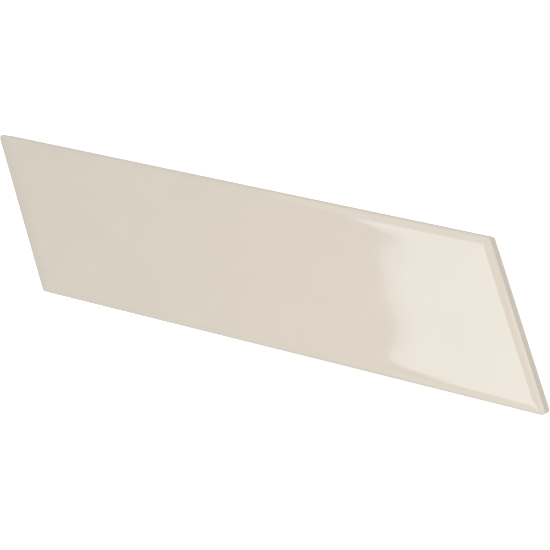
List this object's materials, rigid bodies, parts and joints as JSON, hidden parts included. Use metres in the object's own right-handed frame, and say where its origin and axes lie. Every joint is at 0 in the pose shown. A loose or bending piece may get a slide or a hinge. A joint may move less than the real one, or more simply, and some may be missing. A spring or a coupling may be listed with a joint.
{
  "type": "chevron wall tile",
  "caption": "Parallelogram ceramic wall tile for laying in a chevron pattern, with a glossy glazed face, a soft cushion edge and a keyed back.",
  "frame": {"origin": "middle of the tile's back, on the surface it is bedded to", "axes": "+X along the long edges, +Y square across them, +Z out of the glazed face"},
  "size_m": [0.2142, 0.052, 0.0083],
  "materials": {
    "glaze": "gloss"
  },
  "bodies": {
    "root": {"chevron_tile": "glaze"}
  },
  "joints": []
}
